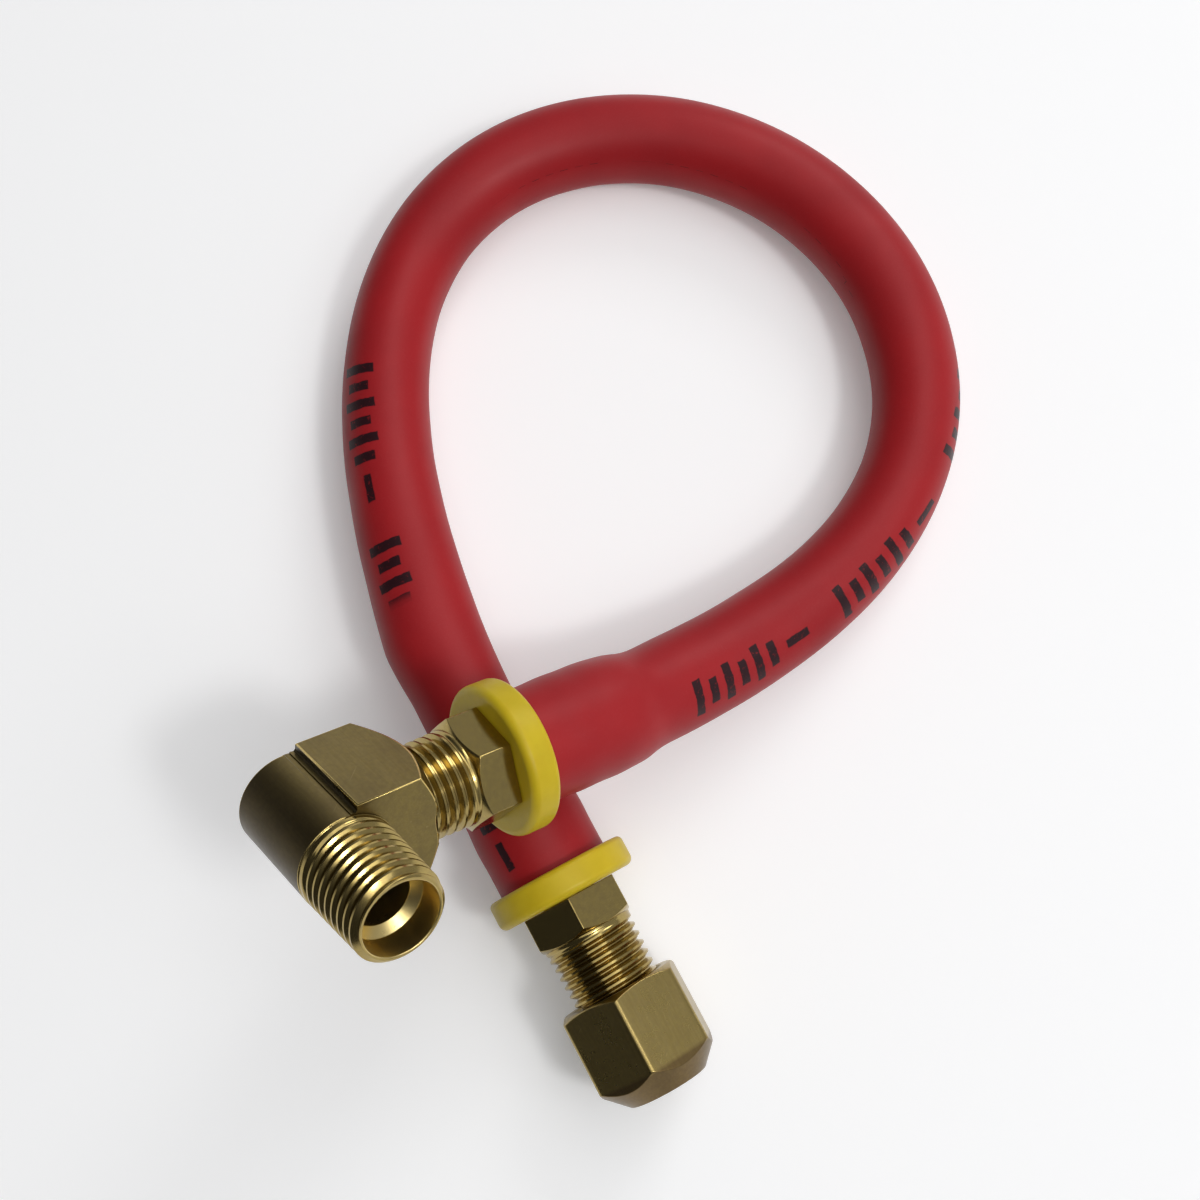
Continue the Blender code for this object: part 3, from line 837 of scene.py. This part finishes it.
def make_collar(name, place, node):
    """Moulded ring: rounded rim, flat front against the hex, and a recess for the hose end."""
    recess = STRETCHED_RADIUS + COLLAR_PLAY
    corners = [
        (recess, COLLAR_SEAT),
        (recess, COLLAR_LENGTH),
        (COLLAR_RADIUS, COLLAR_LENGTH),
        (COLLAR_RADIUS, 0),
        (HEX_ACROSS_FLATS / math.sqrt(3), COLLAR_FRONT_DROP),
        (STEM_RADIUS + COLLAR_PLAY, COLLAR_FRONT_DROP),
        (STEM_RADIUS + COLLAR_PLAY, COLLAR_SEAT),
        (recess, COLLAR_SEAT),
    ]
    radii = (0, 0.3, 0.8, 1.4, 0, 0, 0)
    profile = rounded(corners, radii, 8)[:-1]
    angles = even_angles(COLLAR_STEPS)
    collar = lathe(name, angles, [profile] * len(angles), place, PLASTIC, True)
    soft_normals(collar, SHARP_ANGLE)
    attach(collar, "hose_assembly")
    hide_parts(node)


# Push-on fittings


HEX_CORNER_RADIUS = 0.25
HEX_FACE_INSET = 0.25
HEX_CHAMFER_DROP = 0.85
THREAD_RUNOUT = 1.5
THREAD_RUNOUT_FADE = 1.3
THREAD_END_CHAMFER = 0.9
BORE_CHAMFER = 0.5


def external_crest(distance):
    return THREAD_RADIUS - distance * THREAD_TAPER


def make_fitting(name, place, hex_turn, node):
    """Barbed stem, wrench hex with a turned chamfer, cut thread and through bore, as one surface."""
    hex_at, hex_radii = hex_angles(HEX_ACROSS_FLATS, HEX_CORNER_RADIUS, hex_turn)
    end = -HEX_LENGTH - THREAD_LENGTH
    flat = HEX_ACROSS_FLATS / 2
    corner = HEX_ACROSS_FLATS / math.sqrt(3)
    turned_flat = flat - HEX_FACE_INSET
    slope = HEX_CHAMFER_DROP / (corner - turned_flat)
    barbs = [(STEM_RADIUS, STEM_LENGTH)]
    for barb in range(BARB_COUNT):
        crest = STEM_LENGTH - (barb + 1) * BARB_LENGTH + BARB_TIP_LAND
        land = crest - BARB_TIP_LAND
        barbs += [(BARB_RADIUS, crest), (BARB_RADIUS, land), (STEM_RADIUS, land)]

    def crest_at(height):
        plain = external_crest(-HEX_LENGTH - height)
        chamfer = external_crest(THREAD_LENGTH) - THREAD_END_CHAMFER + (height - end)
        return min(plain, chamfer)

    def depth_at(height):
        from_hex = -HEX_LENGTH - height
        cut = THREAD_DEPTH * fade(from_hex, THREAD_RUNOUT - THREAD_RUNOUT_FADE, THREAD_RUNOUT)
        chamfer_cut = max(external_crest(from_hex) - crest_at(height), 0)
        return max(cut - chamfer_cut, 0)

    bore = [
        (FITTING_BORE_RADIUS + BORE_CHAMFER, end),
        (FITTING_BORE_RADIUS, end + BORE_CHAMFER),
        (FITTING_BORE_RADIUS, STEM_LENGTH),
    ]
    columns = []
    for angle, radius in zip(hex_at, hex_radii):
        chamfer_start = -HEX_LENGTH + (radius - turned_flat) * slope
        side = [(STEM_RADIUS, 0.0), (radius, 0.0), (radius, chamfer_start)]
        side += [(turned_flat, -HEX_LENGTH), (THREAD_RADIUS, -HEX_LENGTH)]
        side = rounded(side, (0, 0.12, 0.12, 0.12), 3)
        thread = thread_column(angle, hex_at[0], end, -HEX_LENGTH, crest_at, depth_at)[::-1]
        columns.append(barbs + side + thread + bore)
    screw = screw_rows(len(barbs) + len(side), len(thread), upward=False)
    fitting = lathe(name, hex_at, columns, place, TURNED_BRASS, True, screw)
    soft_normals(fitting, SHARP_ANGLE)
    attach(fitting, "hose_assembly")
    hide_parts(node)


# End cap


CAP_CORNER_RADIUS = 0.9
CAP_FACE_INSET = 0.2
CAP_FACE_SLOPE = 0.5
CAP_MOUTH_CHAMFER = 0.75
CAP_MOUTH_WIDENING = 0.55
CAP_MOUTH_NARROWING = 0.2
CAP_THREAD_PLAY = 0.12
CAP_THREAD_FADE = (1.0, 3.0)
CAP_DRILL_POINT = 1.0


def make_cap():
    """Hex with chamfered mouth and coned closed end, threaded inside."""
    angles, radii = hex_angles(CAP_ACROSS_FLATS, CAP_CORNER_RADIUS, CAP_TURN)
    mouth = -CAP_MOUTH
    closed_end = mouth - CAP_HEX_LENGTH - CAP_CONE_LENGTH
    corner = CAP_ACROSS_FLATS / math.sqrt(3)
    slope = CAP_CONE_LENGTH / (corner - CAP_END_RADIUS)
    mouth_start = CAP_ACROSS_FLATS / 2 - CAP_FACE_INSET
    floor = mouth - CAP_BORE_DEPTH

    def crest_at(height):
        return external_crest(-HEX_LENGTH - height) + CAP_THREAD_PLAY

    def depth_at(height):
        return THREAD_DEPTH * fade(height, floor + CAP_THREAD_FADE[0], floor + CAP_THREAD_FADE[1])

    columns = []
    for angle, radius in zip(angles, radii):
        outside = [
            (0.0, closed_end),
            (CAP_END_RADIUS, closed_end),
            (radius, closed_end + (radius - CAP_END_RADIUS) * slope),
            (radius, mouth - (radius - mouth_start) * CAP_FACE_SLOPE),
            (mouth_start, mouth),
            (crest_at(mouth) + CAP_MOUTH_WIDENING, mouth),
            (crest_at(mouth) - CAP_MOUTH_NARROWING, mouth - CAP_MOUTH_CHAMFER),
        ]
        outside = rounded(outside, (0, 0.3, 0.3, 0.2, 0.15, 0.12), 4)
        top = mouth - CAP_MOUTH_CHAMFER
        thread = thread_column(angle, angles[0], floor, top, crest_at, depth_at)[::-1]
        columns.append(outside + thread + [(0.0, floor - CAP_DRILL_POINT)])
    screw = screw_rows(len(outside), len(thread), upward=False)
    cap = lathe("brass_end_cap", angles, columns, CAP_END, CAP_BRASS, False, screw)
    soft_normals(cap, SHARP_ANGLE)
    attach(cap, "cap")
    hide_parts("end_cap")


# Street elbow


def turned_cutter(name, profile, place, steps=128):
    angles = even_angles(steps)
    return lathe(name, angles, [profile] * steps, place, MILLED_BRASS, False)


# The body's rounded edges, and the material slots of these, whose brass carries a painted highlight, and of
# the wall above the ledge, whose brass carries painted shade
EDGE_WIDTH = 0.2
EDGE_LEAST_ANGLE = 24
EDGE_SLOT = 1
LEDGE_SLOT = 2
BACK_EDGES_BELOW = 0.3
PORT_REGION_RADIUS = 7.0
LEDGE_SIDE = 6.95
LEDGE_DROP = 0.35
LEDGE_WIDTH = 0.60
LEDGE_WALL_FOOT = 6.8
BACK_ARC_STEPS = 48
PORT_FACE_INSET = 0.25
PORT_PLAY = 0.06
PORT_COUNTERSINK = 0.5
PORT_FLOOR = 3.5
PORT_BORE_RADIUS = 3.7
ELBOW_DRILL_POINT = 1.6
CONE_BACK = 9
CUTTER_PAST = 1


def weigh_edges(mesh):
    """Mark the body's sharp edges for a small rounding, and give the wall above its ledge the dark brass of
    painted shade.

    The edges of the bores and of the ledge stay sharp.
    """
    shape = bmesh.new()
    shape.from_mesh(mesh)
    weight = shape.edges.layers.float.new("bevel_weight_edge")
    for edge in shape.edges:
        places = [vertex.co.x / MM for vertex in edge.verts]
        on_block = min(places) > BLOCK_STEP - 0.02
        on_back = max(places) < BACK_EDGES_BELOW
        sharp = len(edge.link_faces) == 2 and edge.calc_face_angle() > math.radians(EDGE_LEAST_ANGLE)
        to_port_axis = min(vertex.co.yz.length for vertex in edge.verts)
        inside = to_port_axis < PORT_REGION_RADIUS * MM and on_block
        rounded_off = sharp and (on_block or on_back) and not inside
        edge[weight] = 1.0 if rounded_off else 0.0
        edge.smooth = rounded_off or not sharp
    for face in shape.faces:
        middle = face.calc_center_median() / MM
        on_wall = BLOCK_STEP - LEDGE_DROP + 0.01 < middle.x < BLOCK_STEP + 0.01
        # The wall above the ledge takes the dark brass: painted shade in the groove
        if on_wall and abs(middle.y) > LEDGE_WALL_FOOT:
            face.material_index = LEDGE_SLOT
    shape.to_mesh(mesh)
    shape.free()


def make_elbow_body():
    """Slice of a shaped bar: square towards the port and round behind, with a small ledge between."""
    ledge_start = BLOCK_STEP - LEDGE_DROP
    outline = [
        (PORT_REACH, BLOCK_HALF_WIDTH),
        (BLOCK_STEP, BLOCK_HALF_WIDTH),
        (BLOCK_STEP - 0.1, LEDGE_SIDE + 0.15),
        (ledge_start, LEDGE_SIDE - 0.1),
        (ledge_start - LEDGE_WIDTH, LEDGE_SIDE),
    ]
    first = math.degrees(math.atan2(LEDGE_SIDE + 0.02, BLOCK_STEP - 0.9))
    for step in range(BACK_ARC_STEPS + 1):
        turn = math.radians(first + (180 - first) * step / BACK_ARC_STEPS)
        outline.append((BODY_BACK_RADIUS * math.cos(turn), BODY_BACK_RADIUS * math.sin(turn)))
    outline += [(x, -y) for x, y in reversed(outline[:-1])]
    count = len(outline)
    points = [(x, y, -BODY_REACH_BACK) for x, y in outline] + [(x, y, BODY_REACH_FRONT) for x, y in outline]
    faces = [tuple(range(count)), tuple(range(count, 2 * count))]
    faces += [(i, (i + 1) % count, count + (i + 1) % count, count + i) for i in range(count)]
    body = finish_mesh("brass_elbow_body", points, faces, ELBOW, MILLED_BRASS, smooth=False)
    port_axis = ELBOW @ Matrix.Rotation(math.pi / 2, 4, "Y")
    past = math.hypot(BLOCK_HALF_WIDTH, BODY_REACH_BACK) + 0.5
    start = BLOCK_HALF_WIDTH - PORT_FACE_INSET
    drop = (past - start) * math.tan(math.radians(PORT_CHAMFER_ANGLE))
    hole = external_crest(ELBOW_END_THREAD_IN_SIGHT) + PORT_PLAY
    cone = turned_cutter(
        "port_cone",
        [
            (0, PORT_REACH),
            (start, PORT_REACH),
            (past, PORT_REACH - drop),
            (past, -CONE_BACK),
            (0, -CONE_BACK),
        ],
        port_axis,
    )
    port = turned_cutter(
        "port_hole",
        [
            (0, PORT_REACH + CUTTER_PAST),
            (hole + PORT_COUNTERSINK + CUTTER_PAST, PORT_REACH + CUTTER_PAST),
            (hole, PORT_REACH - PORT_COUNTERSINK),
            (hole, PORT_FLOOR),
            (PORT_BORE_RADIUS, PORT_FLOOR),
            (PORT_BORE_RADIUS, 0),
            (0, 0),
        ],
        port_axis,
    )
    bore = turned_cutter(
        "male_hole",
        [
            (0, BODY_REACH_FRONT + CUTTER_PAST),
            (ELBOW_BORE_RADIUS, BODY_REACH_FRONT + CUTTER_PAST),
            (ELBOW_BORE_RADIUS, -ELBOW_BORE_PAST_CROSSING + ELBOW_DRILL_POINT),
            (0, -ELBOW_BORE_PAST_CROSSING),
        ],
        ELBOW,
    )
    for cutter, operation in ((cone, "INTERSECT"), (port, "DIFFERENCE"), (bore, "DIFFERENCE")):
        modifier = body.modifiers.new(cutter.name, "BOOLEAN")
        modifier.operation = operation
        modifier.object = cutter
    bpy.context.view_layer.update()
    graph = bpy.context.evaluated_depsgraph_get()
    mesh = bpy.data.meshes.new_from_object(body.evaluated_get(graph))
    body.modifiers.clear()
    body.data = mesh
    for cutter in (cone, port, bore):
        bpy.data.objects.remove(cutter, do_unlink=True)
    mesh.shade_smooth()
    # Slot 1 is the bevels' brass with a painted highlight, slot 2 the ledge wall's brass with painted shade
    mesh.materials.append(EDGE_BRASS_PAINTED_HIGHLIGHT)
    mesh.materials.append(LEDGE_WALL_PAINTED_SHADE)
    weigh_edges(mesh)
    bevel = body.modifiers.new("Edges", "BEVEL")
    bevel.width = EDGE_WIDTH * MM
    bevel.segments = 3
    bevel.limit_method = "WEIGHT"
    bevel.use_clamp_overlap = False
    bevel.material = EDGE_SLOT
    soft_normals(body)
    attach(body, "hose_assembly")
    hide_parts("street_elbow")


STEP_SLOPE = 0.75
ELBOW_RUNOUT = (0.7, 2.0)
BORE_GAP = 0.02
SHOULDER_SUNK = 0.6
SHOULDER_INSET = 0.12
SHOULDER_RIM_HEIGHT = 0.16
SHOULDER_HEIGHT = 0.26
THREAD_FOOT = 0.28
STUB_STEPS = 192


def make_elbow_thread():
    """The male end: a faced shoulder, the tapered thread, a chamfered rim and a stepped bore."""
    high = BODY_REACH_FRONT + MALE_THREAD_LENGTH
    low = BODY_REACH_FRONT + THREAD_FOOT

    def crest_at(height):
        plain = external_crest(height - BODY_REACH_FRONT)
        return min(plain, external_crest(MALE_THREAD_LENGTH) - MALE_END_CHAMFER + (high - height))

    def depth_at(height):
        from_face = height - BODY_REACH_FRONT
        cut = THREAD_DEPTH * fade(from_face, *ELBOW_RUNOUT)
        return max(cut - (external_crest(from_face) - crest_at(height)), 0)

    inner = ELBOW_BORE_RADIUS - BORE_GAP
    outer = BODY_BACK_RADIUS - SHOULDER_INSET
    shoulder = [
        (inner, BODY_REACH_FRONT - SHOULDER_SUNK),
        (outer, BODY_REACH_FRONT - SHOULDER_SUNK),
        (outer, BODY_REACH_FRONT + SHOULDER_RIM_HEIGHT),
        (THREAD_RADIUS + 0.02, BODY_REACH_FRONT + SHOULDER_HEIGHT),
    ]
    step = high - MALE_MOUTH_DEPTH
    bore = [
        (crest_at(high) - 0.05, high),
        (MALE_MOUTH_RADIUS, high),
        (MALE_MOUTH_RADIUS, step),
        (inner, step - (MALE_MOUTH_RADIUS - ELBOW_BORE_RADIUS) * STEP_SLOPE),
        (inner, BODY_REACH_FRONT - SHOULDER_SUNK),
    ]
    bore = rounded(bore, (0, 0.2, 0.12, 0.12), 4)
    angles = even_angles(STUB_STEPS)
    columns = []
    for angle in angles:
        thread = thread_column(angle, angles[0], low, high, crest_at, depth_at)
        columns.append(shoulder + thread + bore)
    screw = screw_rows(len(shoulder), len(thread))
    stub = lathe("brass_elbow_thread", angles, columns, ELBOW, TURNED_BRASS, True, screw)
    soft_normals(stub, SHARP_ANGLE)
    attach(stub, "hose_assembly")
    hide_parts("street_elbow")


make_hose()
make_collar("collar_ring_elbow_end", ELBOW_END, "collar_elbow_end")
make_collar("collar_ring_cap_end", CAP_END, "collar_cap_end")
make_fitting("brass_fitting_elbow_end", ELBOW_END, 0.0, "push_on_fitting_elbow_end")
make_fitting("brass_fitting_cap_end", CAP_END, CAP_END_HEX_TURN, "push_on_fitting_cap_end")
make_elbow_body()
make_elbow_thread()
make_cap()


# Floor and light


FLOOR_GLOW = 0.20
FLOOR_HALF = 3.0
FLOOR_SUNK = 0.00005
FLOOR_COLOR = (0.93, 0.93, 0.935, 1.0)


def make_floor():
    n = Nodes("floor")
    mesh = bpy.data.meshes.new("floor")
    corners = [(-1, -1, 0), (1, -1, 0), (1, 1, 0), (-1, 1, 0)]
    corners = [tuple(FLOOR_HALF * side for side in corner) for corner in corners]
    mesh.from_pydata(corners, [], [(0, 1, 2, 3)])
    floor = bpy.data.objects.new("floor", mesh)
    scene_collection().objects.link(floor)
    floor.location.z = -FLOOR_SUNK
    n.shader.inputs["Base Color"].default_value = FLOOR_COLOR
    n.shader.inputs["Roughness"].default_value = 0.8
    # What the camera and the metal see of the floor is a little brighter, with the object's shadow kept
    rays = n.node("ShaderNodeLightPath").outputs
    seen = n.math("MAXIMUM", rays["Is Camera Ray"], rays["Is Glossy Ray"])
    seen = n.math("MAXIMUM", seen, rays["Is Transmission Ray"])
    n.shader.inputs["Emission Color"].default_value = (1.0, 1.0, 1.0, 1.0)
    n.link(n.math("MULTIPLY", seen, FLOOR_GLOW), n.shader.inputs["Emission Strength"])
    mesh.materials.append(n.material)


def area_light(name, place, target, size, power):
    """A square soft box that faces its target."""
    light = bpy.data.lights.new(name, "AREA")
    light.shape = "SQUARE"
    light.size = size
    light.energy = power
    obj = bpy.data.objects.new(name, light)
    scene_collection().objects.link(obj)
    obj.location = place
    obj.rotation_mode = "QUATERNION"
    obj.rotation_quaternion = (Vector(target) - Vector(place)).to_track_quat("-Z", "Y")


# Soft boxes a metre from the object: heading and height in degrees, width in metres and power in watts
LIT_PLACE = Vector((0.03, 0.045, 0.01))
SOFT_BOXES = (
    ("key", -60.0, 58.0, 0.15, 1.9),
    ("key_soft", -55.0, 56.0, 0.6, 1.9),
    ("overhead", -118.0, 84.0, 0.6, 1.1),
    ("side", 33.0, 34.0, 0.36, 1.7),
    ("side_high", 30.0, 62.0, 0.5, 1.1),
)
# The room's light: from the first value of X across to the second, its strength goes up from low to high
ROOM_SIDES = (-0.25, 0.6)
ROOM_STRENGTH = (0.05, 0.42)
ROOM_COLOR = (0.97, 0.98, 1.0, 1.0)


def make_light():
    world = bpy.data.worlds.new("studio")
    bpy.context.scene.world = world
    world.use_nodes = True
    background = world.node_tree.nodes["Background"]
    # The room is lighter towards +X, where most of the soft boxes stand
    tree = world.node_tree
    to_side = tree.nodes.new("ShaderNodeSeparateXYZ")
    tree.links.new(tree.nodes.new("ShaderNodeTexCoord").outputs["Generated"], to_side.inputs[0])
    strength = tree.nodes.new("ShaderNodeMapRange")
    tree.links.new(to_side.outputs["X"], strength.inputs["Value"])
    for name, number in zip(("From Min", "From Max", "To Min", "To Max"), (*ROOM_SIDES, *ROOM_STRENGTH)):
        strength.inputs[name].default_value = number
    tree.links.new(strength.outputs[0], background.inputs["Strength"])
    background.inputs["Color"].default_value = ROOM_COLOR
    for name, heading, height, size, power in SOFT_BOXES:
        area_light(name, LIT_PLACE + direction(heading, height), LIT_PLACE, size, power)


make_floor()
make_light()
bpy.context.scene.view_settings.view_transform = "Standard"
